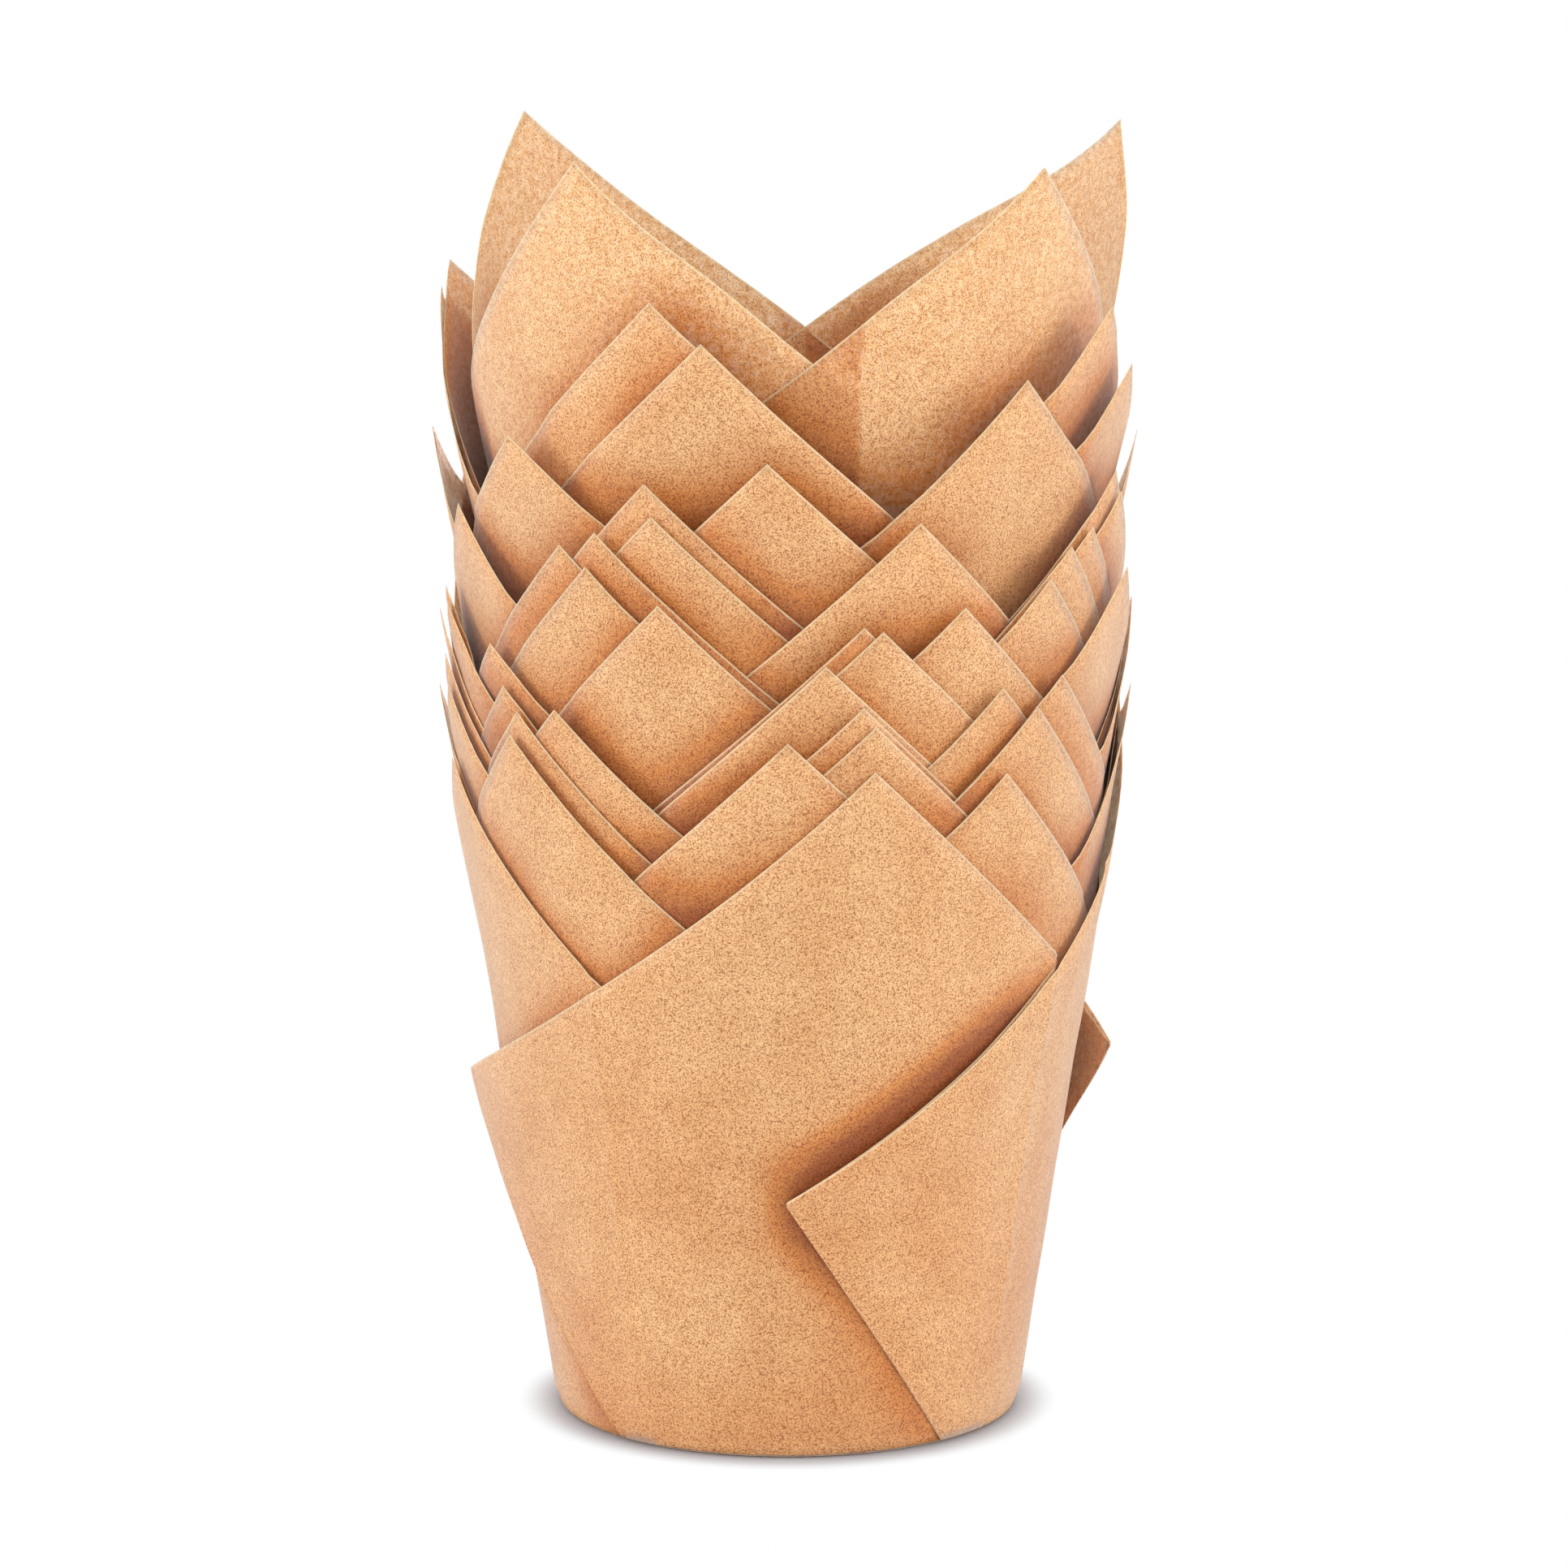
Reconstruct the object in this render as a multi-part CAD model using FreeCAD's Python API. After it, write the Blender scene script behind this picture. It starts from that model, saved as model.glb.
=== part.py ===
import FreeCAD, Part
import math
import os
from collections import namedtuple

os.makedirs("parts", exist_ok=True)

# A nested stack of tulip cupcake liners, upright on its round base.
# Each liner is one square sheet of paper pressed over a tapering round form.
# The four corners of the sheet stand up as petals. Between two petals the spare
# paper lies flat against the wall as one knife pleat, three layers thick.
# Lengths are in millimetres and angles in degrees. Azimuth 0 is the front, at -Y,
# and grows towards +X. The origin is the middle of the bottom liner's underside.

# Driving dimensions of every liner
base_diameter = 50.0
wall_taper = 8.6
sheet_side = 143.0
paper_thickness = 0.05
layer_gap = 0.02
blunt_corner = 0.2

# Driving clearance of a liner that leans against the one below it
seat_clearance = 0.1

# The round form is this many narrow flat strips, so all layers lie parallel to each other
wall_strips = 72

# One row for each liner, from the bottom of the stack to its top.
# left, right: the way that the two front petals point
# far: the way that the two back petals point, if not straight behind the front ones
# Next petals point at most about 105 degrees apart, or the pleat between them has no room.
# loose: height above the tightest nesting
# left_lift, right_lift: how far those petals stand higher, as the sheet is off its centre
# toward: the way that the liner leans if it is loose
Liner = namedtuple("Liner", "left right loose left_lift right_lift toward far")


def liner(left, right, loose, left_lift=0.0, right_lift=0.0, toward=-90.0, far=None):
    return Liner(left, right, loose, left_lift, right_lift, toward, far or (left + 180.0, right + 180.0))


stack = [
    liner(-75, 14, 0.0, left_lift=-3.0),
    liner(-51, 38, 0.5, right_lift=-3.0),
    liner(-90, 0, 0.2),
    liner(-76, 14, 0.2),
    liner(-50, 44, 0.2, left_lift=-2.0, right_lift=-1.0),
    liner(-78, 12, 0.15, right_lift=-1.0),
    liner(-41, 50, 0.15, left_lift=-3.0, right_lift=-1.0),
    liner(-54, 37, 0.15, left_lift=-3.0, right_lift=-3.0),
    liner(-84, 6, 0.15, right_lift=-1.0),
    liner(-75, 15, 0.15, right_lift=1.0),
    liner(-78, 12, 0.15),
    liner(-58, 29, 0.15, left_lift=-3.0),
    liner(-21, 70, 0.15, left_lift=-1.0),
    liner(-34, 47, 0.15, left_lift=1.0, right_lift=-1.0),
    liner(-39, 52, 0.7, left_lift=1.0),
    liner(-32, 58, 0.3, left_lift=1.0),
    liner(-69, 21, 0.2, right_lift=1.0),
    liner(-22, 68, 0.2),
    liner(-23, 66, 1.0, left_lift=1.0),
    liner(-93, -3, 1.2, right_lift=1.0),
    liner(-48, 41, 6.0, left_lift=-3.0, right_lift=1.0, toward=180.0),
    liner(-14, 71, 3.2, left_lift=1.0, right_lift=-2.0, toward=60.0),
    liner(-22, 63, 2.7, left_lift=1.0, right_lift=-1.0),
    liner(-36, 45, 13.5, left_lift=-1.0, right_lift=-1.0, toward=180.0, far=(122, 224)),
]

# Worked out from the driving dimensions
base_radius = base_diameter / 2.0
corner_reach = sheet_side / math.sqrt(2.0)
sin_taper = math.sin(math.radians(wall_taper))
cos_taper = math.cos(math.radians(wall_taper))
tan_taper = math.tan(math.radians(wall_taper))
half_paper = paper_thickness / 2.0
layer_step = paper_thickness + layer_gap
pleat_thickness = 3.0 * paper_thickness + 2.0 * layer_gap

# A liner sits at least this much above the next, with its pleats and floor edge inside that wall
tightest_rise = pleat_thickness / tan_taper + paper_thickness

# Four points this near to one plane make one face
flat_enough = 1e-7

# The wall is a cone. Laid flat, its point lies behind the middle of the base.
apex_to_base = base_radius / sin_taper
apex_behind = apex_to_base - base_radius

# The turned paper of a fold is one paper thickness wide, here as an angle
fold_width = math.degrees(paper_thickness / base_radius)
blunt_width = math.degrees(blunt_corner / base_radius)

# Azimuth of one strip, and the nearest that a strip's side comes to a fold or a tip
strip_angle = 360.0 / wall_strips
strip_margin = 3.0 * fold_width


def strip_reach(azimuth):
    """Share of the round radius that the flat strip has at this azimuth."""
    from_middle = azimuth % strip_angle - strip_angle / 2.0
    return math.cos(math.radians(strip_angle / 2.0)) / math.cos(math.radians(from_middle))


def place(azimuth, slant, offset):
    """Point of the wall: slant is measured from the cone's point, offset is outwards."""
    radius = (slant * sin_taper + offset) * strip_reach(azimuth)
    height = paper_thickness + (slant - apex_to_base) * cos_taper
    turn = math.radians(azimuth)
    return FreeCAD.Vector(radius * math.sin(turn), -radius * math.cos(turn), height)


def strip_sides(start, end):
    """Azimuths of the strips' sides between two azimuths."""
    first = math.ceil((start + strip_margin) / strip_angle)
    last = math.floor((end - strip_margin) / strip_angle)
    return [number * strip_angle for number in range(first, last + 1)]


def base_line(azimuth):
    return apex_to_base


class Petal:
    """One corner of the sheet, with the pleat on its left."""

    def __init__(self, points_at, corner_across, corner_along):
        self.across = corner_across
        self.along = corner_along
        self.tip = points_at
        self.axis = points_at - self.turned(corner_across, corner_along)
        half_edge = (corner_along - corner_across) / 2.0
        self.corner = self.axis + self.turned(-half_edge, half_edge)
        start = (math.sqrt(2.0 * apex_to_base ** 2 - apex_behind ** 2) - apex_behind) / 2.0
        self.fold_foot = self.axis + self.turned(-start, start)

    @staticmethod
    def turned(across, along):
        """Azimuth of a point of the flat sheet, from the petal's own axis."""
        return math.degrees(math.atan2(across, along + apex_behind)) / sin_taper

    def flat_angle(self, azimuth):
        return math.radians(azimuth - self.axis) * sin_taper

    def left_edge(self, azimuth):
        angle = self.flat_angle(azimuth)
        return (apex_behind + self.along - self.across) / (math.cos(angle) - math.sin(angle))

    def right_edge(self, azimuth):
        angle = self.flat_angle(azimuth)
        return (apex_behind + self.along + self.across) / (math.cos(angle) + math.sin(angle))

    def fold(self, azimuth):
        angle = self.flat_angle(azimuth)
        return apex_behind / (math.cos(angle) + math.sin(angle))

    def inner_fold(self, azimuth):
        return self.fold(azimuth - fold_width)


def petals_of(row):
    """The four petals in order of azimuth, each with its links to its neighbours."""
    left, right = row.left_lift / cos_taper, row.right_lift / cos_taper
    lifts = [left, right, -left, -right]
    ways = [row.left, row.right, row.far[0], row.far[1]]
    petals = []
    for index in range(4):
        across = lifts[(index + 1) % 4]
        petals.append(Petal(ways[index], across, corner_reach + lifts[index]))
    for index, petal in enumerate(petals):
        before = petals[index - 1]
        after = petals[(index + 1) % 4]
        petal.before = before
        left_axis = before.axis - (360.0 if index == 0 else 0.0)
        right_axis = after.axis + (360.0 if index == 3 else 0.0)
        petal.left_turn = (left_axis + petal.axis) / 2.0
        petal.right_turn = (petal.axis + right_axis) / 2.0
        petal.next_corner = right_axis + after.corner - after.axis
        petal.next_foot = right_axis + after.fold_foot - after.axis
    return petals


def layer_offset(petal, azimuth):
    """The panel lies over two layers at its pleat and settles onto the form past it."""
    share = (azimuth - petal.left_turn) / (petal.next_corner - petal.left_turn)
    share = min(max(share, 0.0), 1.0)
    return layer_step * (1.0 + math.cos(math.pi * share))


def facets(row, other):
    """Flat faces between two rows of points: four-sided where the points allow it."""
    faces = []
    for index in range(len(row) - 1):
        corners = [row[index], row[index + 1], other[index + 1], other[index]]
        normal = (corners[1] - corners[0]).cross(corners[3] - corners[0]).normalize()
        if abs(normal.dot(corners[2] - corners[0])) < flat_enough:
            faces.append(polygon(corners))
        else:
            faces.append(polygon([corners[0], corners[1], corners[2]]))
            faces.append(polygon([corners[0], corners[2], corners[3]]))
    return faces


def polygon(corners):
    return Part.Face(Part.makePolygon(corners + corners[:1]))


def lowered(row):
    return [point - FreeCAD.Vector(0.0, 0.0, paper_thickness) for point in row]


class Skin:
    """One side of one layer: flat strips between lower and upper rows of points."""

    def __init__(self, marks, inner_sides, lower, upper, offset_of):
        self.low = []
        self.high = []
        for index, sides in enumerate(inner_sides):
            azimuths = [marks[index]] + sides + [marks[index + 1]]
            self.low.append([place(a, lower[index](a), offset_of(a)) for a in azimuths])
            self.high.append([place(a, upper[index](a), offset_of(a)) for a in azimuths])
        self.left_end = [self.low[0][0], self.high[0][0]]
        self.right_end = [self.low[-1][-1], self.high[-1][-1]]
        self.faces = []
        for low, high in zip(self.low, self.high):
            self.faces += facets(low, high)


def skins_of(petal):
    """Both sides of the panel and of the layer folded back beneath it."""
    left, right, fold, inner = petal.left_edge, petal.right_edge, petal.fold, petal.inner_fold
    blunt = petal.corner + blunt_width
    lower = [fold, base_line, base_line, base_line]
    lower_inner = [inner, base_line, base_line, base_line]
    upper = [left, left, right, right]
    out_marks = [blunt, petal.fold_foot, petal.tip, petal.next_foot, petal.right_turn - fold_width]
    in_marks = [blunt + fold_width, petal.fold_foot + fold_width, petal.tip, petal.next_foot, petal.right_turn]
    sides = [strip_sides(start, end) for start, end in zip(out_marks, out_marks[1:])]
    petal.panel_out = Skin(out_marks, sides, lower, upper, lambda a: layer_offset(petal, a) + half_paper)
    petal.panel_in = Skin(in_marks, sides, lower_inner, upper, lambda a: layer_offset(petal, a) - half_paper)
    under = [blunt, petal.fold_foot, petal.left_turn - fold_width]
    over = [blunt + fold_width, petal.fold_foot + fold_width, petal.left_turn]
    sides = [strip_sides(start, end) for start, end in zip(under, under[1:])]
    petal.back_in = Skin(under, sides, lower, [left, left], lambda a: layer_step - half_paper)
    petal.back_out = Skin(over, sides, lower_inner, [left, left], lambda a: layer_step + half_paper)


def wall_faces(petal):
    """Faces of one petal's panel, of its pleat and of the turned paper of both folds."""
    panel_out, panel_in, back_in, back_out = petal.panel_out, petal.panel_in, petal.back_in, petal.back_out
    before_out, before_in = petal.before.panel_out, petal.before.panel_in
    faces = panel_out.faces + panel_in.faces + back_in.faces + back_out.faces
    for one, other in ((panel_out, panel_in), (back_in, back_out)):
        for high, other_high in zip(one.high, other.high):
            faces += facets(high, other_high)
    faces += facets(panel_out.low[0], back_in.low[0])
    faces += facets(panel_in.low[0], back_out.low[0])
    faces += facets(panel_out.left_end, back_in.left_end)
    faces += facets(panel_in.left_end, back_out.left_end)
    faces += facets(back_out.right_end, before_in.right_end)
    faces += facets(back_in.right_end, before_out.right_end)
    faces += facets(
        [panel_out.left_end[1], back_in.left_end[1]], [panel_in.left_end[1], back_out.left_end[1]])
    faces += facets(
        [back_out.right_end[1], before_in.right_end[1]], [back_in.right_end[1], before_out.right_end[1]])
    return faces


def floor_faces(petals):
    """Underside and edge of the floor, its inside, and the floor seen in each pleat."""
    outline = []
    inside = []
    faces = []
    for petal in petals:
        before_out = petal.before.panel_out
        mouth = [before_out.low[2][-1], petal.back_in.low[1][0]]
        outline += mouth + petal.panel_out.low[1] + petal.panel_out.low[2][1:-1]
        inside += [petal.before.panel_in.low[3][-1]] + petal.back_out.low[1][::-1]
        for row in petal.panel_in.low[1:]:
            inside += row[:-1]
        faces.append(polygon(before_out.low[3] + petal.back_in.low[1][::-1]))
    outline.append(outline[0])
    faces += facets(outline, lowered(outline))
    faces.append(polygon(lowered(outline[:-1])))
    faces.append(polygon(inside))
    return faces


def folded_sheet(row):
    """One liner as a closed solid, with its underside at height 0."""
    petals = petals_of(row)
    for petal in petals:
        skins_of(petal)
    faces = floor_faces(petals)
    for petal in petals:
        faces += wall_faces(petal)
    shell = Part.makeCompound(faces)
    shell.sewShape()
    solid = Part.Solid(shell.Shells[0])
    if solid.Volume < 0.0:
        solid.reverse()
    return solid


def stack_places():
    """Where the middle of each liner's underside lies."""
    places = []
    spot = FreeCAD.Vector(0.0, 0.0, 0.0)
    for index, row in enumerate(stack):
        if index > 0:
            lean = max(0.0, row.loose * tan_taper - seat_clearance)
            turn = math.radians(row.toward)
            rise = tightest_rise + row.loose
            spot = spot + FreeCAD.Vector(lean * math.sin(turn), -lean * math.cos(turn), rise)
        places.append(spot)
    return places


def main():
    for index, (row, spot) in enumerate(zip(stack, stack_places())):
        solid = folded_sheet(row)
        solid.translate(spot)
        solid.exportStep("parts/liner_%02d.step" % (index + 1))


main()
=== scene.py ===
import math
from collections import namedtuple

import bpy
import numpy as np
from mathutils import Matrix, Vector, noise

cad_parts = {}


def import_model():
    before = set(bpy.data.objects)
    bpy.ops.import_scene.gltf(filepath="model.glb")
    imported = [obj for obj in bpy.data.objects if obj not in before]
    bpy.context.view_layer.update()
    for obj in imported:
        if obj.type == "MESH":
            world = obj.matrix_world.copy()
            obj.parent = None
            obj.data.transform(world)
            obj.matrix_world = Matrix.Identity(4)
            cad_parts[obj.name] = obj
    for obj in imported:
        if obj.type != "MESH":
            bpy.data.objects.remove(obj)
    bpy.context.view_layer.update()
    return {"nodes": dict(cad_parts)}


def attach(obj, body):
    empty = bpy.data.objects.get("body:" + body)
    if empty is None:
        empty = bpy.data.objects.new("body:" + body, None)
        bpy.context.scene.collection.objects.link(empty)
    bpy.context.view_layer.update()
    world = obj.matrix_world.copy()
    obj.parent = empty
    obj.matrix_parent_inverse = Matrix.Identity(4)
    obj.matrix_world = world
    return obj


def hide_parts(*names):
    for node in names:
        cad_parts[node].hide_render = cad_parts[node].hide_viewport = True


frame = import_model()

# A nested stack of tulip cupcake liners of thin kraft paper.
# Each liner is one square sheet: a round floor, a tapering wall, four petals and
# four knife pleats. The shape is worked out in millimetres and degrees, and the
# meshes are in metres. Azimuth 0 is the front, at -Y, and grows towards +X.
# A slant is a distance from the point of the wall's cone, along the wall.

MM = 0.001

# Sizes of every liner, as in the solids
BASE_RADIUS = 25.0
WALL_TAPER = 8.6
SHEET_SIDE = 143.0

# Paper, the step from one layer of a pleat to the next, the room kept between liners,
# and the rounding from floor to wall
PAPER = 0.05
LAYER_STEP = 0.06
CLEARANCE = 0.07
HEEL_RADIUS = 1.6

# Mesh spacing: columns round the wall in degrees, rows up it, and rings of the floor
COLUMN_ANGLE = 2.5
NEAREST_COLUMNS = 0.3
BLUNT_ANGLE = 0.4
FINE_ROWS = 30
HIDDEN_ROWS = 6
HIDDEN_PART = 0.5
HEEL_RINGS = (0.75, 0.5, 0.25, 0.0)
FLOOR_RINGS = 6

# Tables of columns and levels: the step of the levels, how many, and the last place read
LEVEL_STEP = 1.0
LEVELS = 160
LAST_LEVEL = LEVELS - 1.001

# One row for each liner, from the bottom of the stack to its top.
# left, right: the way that the two front petals point
# left_lift, right_lift: how far those petals stand higher, as the sheet is off its centre
# lips: how far the cut edge left of each petal stands off the wall at its pleat
# bent: the petals whose tips differ from the usual, by number
# pleats: the pleats whose loose corners differ from an even fold, by number
# far: the way that the two back petals point, if not straight behind the front ones
# past: how far an inner fold lies past the place where the two cut edges cross
# creases: the way and the depth of upright creases that the wall keeps from the press
# fuller: how much higher the left and the right cut edge of a petal end, by number
# double: painted shade where a pleat lies over the next petal, as less light comes through double paper
# lit: petals seen against the light, on which the painted shade from what lies behind counts less, by
# number
# Petals are numbered round the liner: front left, front right, then the two behind them.
# A pleat has the number of the petal on its right.
Liner = namedtuple("Liner", "left right left_lift right_lift lips bent pleats far past "
                            "creases fuller double lit")

# How far a tip is bent out of the wall in degrees, and moved sideways and down in millimetres
Bent = namedtuple("Bent", "out sideways down", defaults=(0.0, 0.0))

# How far a pleat's loose corner stands off, how much further round it reaches in degrees,
# how much higher it ends, and how much painted shade its cut edge gives the paper above it
Pleat = namedtuple("Pleat", "off reach higher shade", defaults=(0.0, 0.0, 1.0))

USUAL_BENT = (Bent(1), Bent(2), Bent(0), Bent(3))
EVEN_PLEAT = Pleat(0.0)
EVEN_EDGES = (0.0, 0.0)
EVEN_LIPS = (0.7, 0.8, 0.7, 0.6)
LOOSE_LIPS = (1.3, 1.6, 1.4, 1.2)
PETALS = 4


def liner(left, right, left_lift=0.0, right_lift=0.0, lips=EVEN_LIPS, bent=None, pleats=None,
          far=None, past=0.0, creases=(), fuller=None, double=0.05, lit=()):
    far = far or (left + 180.0, right + 180.0)
    return Liner(left, right, left_lift, right_lift, lips, bent or {}, pleats or {}, far, past,
                 creases, fuller or {}, double, lit)


STACK = [
    liner(-75, 14, left_lift=-3.0, lips=(0.8, 0.5, 0.9, 0.8),
          bent={0: Bent(2), 1: Bent(0), 2: Bent(-1), 3: Bent(3)},
          pleats={0: Pleat(1.6), 1: Pleat(3.4, 0.0, 7.5, 0.4), 2: Pleat(0.7, 10.5, -2.8, 1.8),
                  3: Pleat(3.3, 0.0, 6.5, 0.6)},
          creases=((-38, 0.2), (56, 0.2), (75, -0.25)), double=0.0),
    liner(-51, 38, right_lift=-3.0, lips=(0.6, 0.4, 0.9, 0.6)),
    liner(-90, 0, bent={0: Bent(2), 2: Bent(0)}),
    liner(-76, 14),
    liner(-50, 44, left_lift=-2.0, right_lift=-1.0),
    liner(-78, 12, right_lift=-1.0),
    liner(-41, 50, left_lift=-3.0, right_lift=-1.0, bent={0: Bent(2, 0.0, 1.2)}),
    liner(-54, 37, left_lift=-3.0, right_lift=-3.0, bent={0: Bent(2, 0.0, 1.2)}),
    liner(-84, 6, right_lift=-1.0, bent={0: Bent(2), 2: Bent(1)}),
    liner(-75, 15, right_lift=1.0),
    liner(-78, 12),
    liner(-58, 29, left_lift=-3.0, bent={0: Bent(3, 0.8, 3.0)}),
    liner(-21, 70, left_lift=-1.0, bent={1: Bent(4)}),
    liner(-34, 47, left_lift=1.0, right_lift=-1.0),
    liner(-39, 52, left_lift=1.0),
    liner(-32, 58, left_lift=1.0),
    liner(-69, 21, right_lift=1.0, bent={2: Bent(2)}),
    liner(-22, 68, bent={1: Bent(3)}),
    liner(-23, 66, left_lift=1.0),
    liner(-93, -3, right_lift=1.0, bent={0: Bent(3), 2: Bent(2)}),
    liner(-48, 41, left_lift=-3.0, right_lift=1.0, lips=LOOSE_LIPS,
          bent={0: Bent(9, -0.3, 2.0), 1: Bent(2), 2: Bent(4), 3: Bent(4)}),
    liner(-14, 71, left_lift=1.0, right_lift=-2.0, lips=LOOSE_LIPS,
          bent={0: Bent(1), 1: Bent(6, 0.0, 1.6), 2: Bent(5), 3: Bent(5)}),
    liner(-22, 63, left_lift=1.0, right_lift=-1.0, lips=LOOSE_LIPS,
          bent={0: Bent(1), 1: Bent(5), 2: Bent(6), 3: Bent(14)}),
    liner(-36, 45, left_lift=-1.0, right_lift=-1.0, lips=(0.8, 0.4, 0.8, 0.8),
          bent={0: Bent(1, 0.0, -0.8), 1: Bent(2), 2: Bent(8, -6.0), 3: Bent(7, 2.5)},
          far=(122, 224), past=9.0, fuller={0: (0.0, 2.6), 1: (2.6, 0.0), 2: (0.0, 3.0)},
          double=0.2, lit=(2, 3)),
]

# Worked out from the sizes: the wall's cone, and the flat sheet laid round it
CORNER_REACH = SHEET_SIDE / math.sqrt(2.0)
WALL_LEAN = math.radians(WALL_TAPER)
SIN_TAPER = math.sin(WALL_LEAN)
COS_TAPER = math.cos(WALL_LEAN)
TAN_TAPER = math.tan(WALL_LEAN)
APEX_TO_BASE = BASE_RADIUS / SIN_TAPER
APEX_BEHIND = APEX_TO_BASE - BASE_RADIUS
HEEL_TURN = math.pi / 2.0 - WALL_LEAN
HEEL_TANGENT = HEEL_RADIUS * math.tan(HEEL_TURN / 2.0)


def smooth_step(value):
    value = np.clip(value, 0.0, 1.0)
    return value * value * (3.0 - 2.0 * value)


def wall_height(slant):
    return (slant - APEX_TO_BASE) * COS_TAPER


# The flat sheet

# A raised cut edge: how it climbs towards the pleat's corner, and within how many
# degrees of the tip a fuller edge reaches its full height
RAISED_CURVE = 1.6
FULL_WITHIN = 30.0

# The loose corner is found in steps round the wall, in degrees, each smaller than the last
FIRST_STEP = 4.0
LAST_STEP = 0.01
STEP_RATIO = 0.8

# A loose pleat: how its distance from the wall grows towards the corner, the share of it
# that the outer fold has, and how much nearer the folded layer lies at its own cut edge
FLAP_CURVE = 2.2
FLAP_AT_FOLD = 0.6
BACK_FLAP_DROP = 0.4

# How soon, from the pleats to the tip, a petal is free to bend
FREE_RATE = 1.6


class Petal:
    """One corner of the flat sheet, with the pleat on its left.

    across and along: where the sheet's corner lies from the middle of the base
    axis: azimuth of the flat sheet's line from the middle of the base straight up this petal
    even_corner, corner: azimuth of the pleat's loose corner, on an even fold and as it is
    fold_foot: azimuth at which the pleat's outer fold starts from the base
    left_cross, right_cross: azimuths where its cut edges cross those of its neighbours
    left_turn, right_turn: azimuths of the inner folds on its left and on its right"""

    def __init__(self, points_at, across, along, pleat, fuller):
        self.across = across
        self.along = along
        self.pleat = pleat
        self.fuller = fuller
        self.tip = points_at
        self.axis = points_at - self.turned(across, along)
        half_edge = (along - across) / 2.0
        self.even_corner = self.axis + self.turned(-half_edge, half_edge)
        self.corner = self.lowest_corner(self.even_corner - pleat.reach)
        start = (math.sqrt(2.0 * APEX_TO_BASE ** 2 - APEX_BEHIND ** 2) - APEX_BEHIND) / 2.0
        self.fold_foot = self.axis + self.turned(-start, start) - pleat.reach

    @staticmethod
    def turned(across, along):
        """Azimuth of a point of the flat sheet, from the petal's own axis."""
        return math.degrees(math.atan2(across, along + APEX_BEHIND)) / SIN_TAPER

    def flat_angle(self, azimuth):
        return np.radians(azimuth - self.axis) * SIN_TAPER

    def lowest_corner(self, azimuth):
        """Where the outer fold meets the cut edge."""
        step = FIRST_STEP
        while step > LAST_STEP:
            gap = self.left_edge(azimuth) - self.fold(azimuth)
            azimuth = azimuth - step if gap > 0.0 else azimuth + step
            step = step * STEP_RATIO
        return azimuth

    def fold(self, azimuth):
        """Slant of the pleat's outer fold."""
        angle = self.flat_angle(azimuth + self.pleat.reach)
        return APEX_BEHIND / (np.cos(angle) + np.sin(angle))

    def raised(self, azimuth):
        """How much higher the left cut edge ends than on an even fold."""
        from_tip = np.maximum(self.tip - azimuth, 0.0)
        far_share = from_tip / (self.tip - self.even_corner)
        full = self.fuller[0] * smooth_step(from_tip / FULL_WITHIN)
        return self.pleat.higher * far_share ** RAISED_CURVE + full

    def raised_right(self, azimuth):
        return self.fuller[1] * smooth_step((azimuth - self.tip) / FULL_WITHIN)

    def left_edge(self, azimuth):
        angle = self.flat_angle(azimuth)
        even = (APEX_BEHIND + self.along - self.across) / (np.cos(angle) - np.sin(angle))
        return even + self.raised(azimuth)

    def right_edge(self, azimuth):
        angle = self.flat_angle(azimuth)
        even = (APEX_BEHIND + self.along + self.across) / (np.cos(angle) + np.sin(angle))
        return even + self.raised_right(azimuth)

    def edge(self, azimuth):
        """Slant of the panel's cut edge: the left side up to the tip, then the right side."""
        return np.where(azimuth <= self.tip, self.left_edge(azimuth), self.right_edge(azimuth))

    def back_edge(self, azimuth):
        """Slant of the cut edge of the layer folded back beneath the panel."""
        return np.minimum(self.left_edge(azimuth), self.before.right_edge(azimuth + self.before_turn))

    def foot(self, azimuth):
        """Slant of the lower end: the outer fold, then the base."""
        fold = np.maximum(self.fold(azimuth), APEX_TO_BASE)
        return np.where(azimuth < self.fold_foot, fold, APEX_TO_BASE)

    def from_edges(self, azimuth, slant):
        """Distances on the flat sheet from the left cut edge and from the right one."""
        angle = self.flat_angle(azimuth)
        across = slant * np.sin(angle)
        along = slant * np.cos(angle) - APEX_BEHIND
        more_left = self.raised(azimuth) * (np.cos(angle) - np.sin(angle))
        more_right = self.raised_right(azimuth) * (np.cos(angle) + np.sin(angle))
        to_left = (self.along - self.across - (along - across) + more_left) / math.sqrt(2.0)
        to_right = (self.along + self.across - (along + across) + more_right) / math.sqrt(2.0)
        return np.maximum(to_left, 0.0), np.maximum(to_right, 0.0)

    def toward_left(self, azimuth):
        """0 at the tip and 1 where the left cut edge crosses its neighbour's."""
        return (self.tip - azimuth) / (self.tip - self.left_cross)

    def toward_right(self, azimuth):
        """0 at the tip and 1 where the right cut edge crosses its neighbour's."""
        return (azimuth - self.tip) / (self.right_cross - self.tip)

    def freedom(self, azimuth):
        """1 where the petal is free to bend, 0 where the pleats hold it."""
        held = np.maximum(self.toward_left(azimuth), self.toward_right(azimuth))
        return smooth_step(FREE_RATE * (1.0 - held))

    def toward_corner(self, azimuth):
        """0 where the pleat begins and 1 at its loose corner."""
        return np.clip((self.left_cross - azimuth) / (self.left_cross - self.corner), 0.0, 1.0)

    def flap_off(self, azimuth, share, folded_back):
        """How far the loose pleat stands off, share being 0 at the foot and 1 at the edge."""
        out = self.toward_corner(azimuth)
        at_edge = self.pleat.off * out ** FLAP_CURVE
        at_fold = at_edge * (FLAP_AT_FOLD + (1.0 - FLAP_AT_FOLD) * out)
        if folded_back:
            return at_fold * (1.0 - BACK_FLAP_DROP * share * (1.0 - out))
        return at_fold + (at_edge - at_fold) * share

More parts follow.
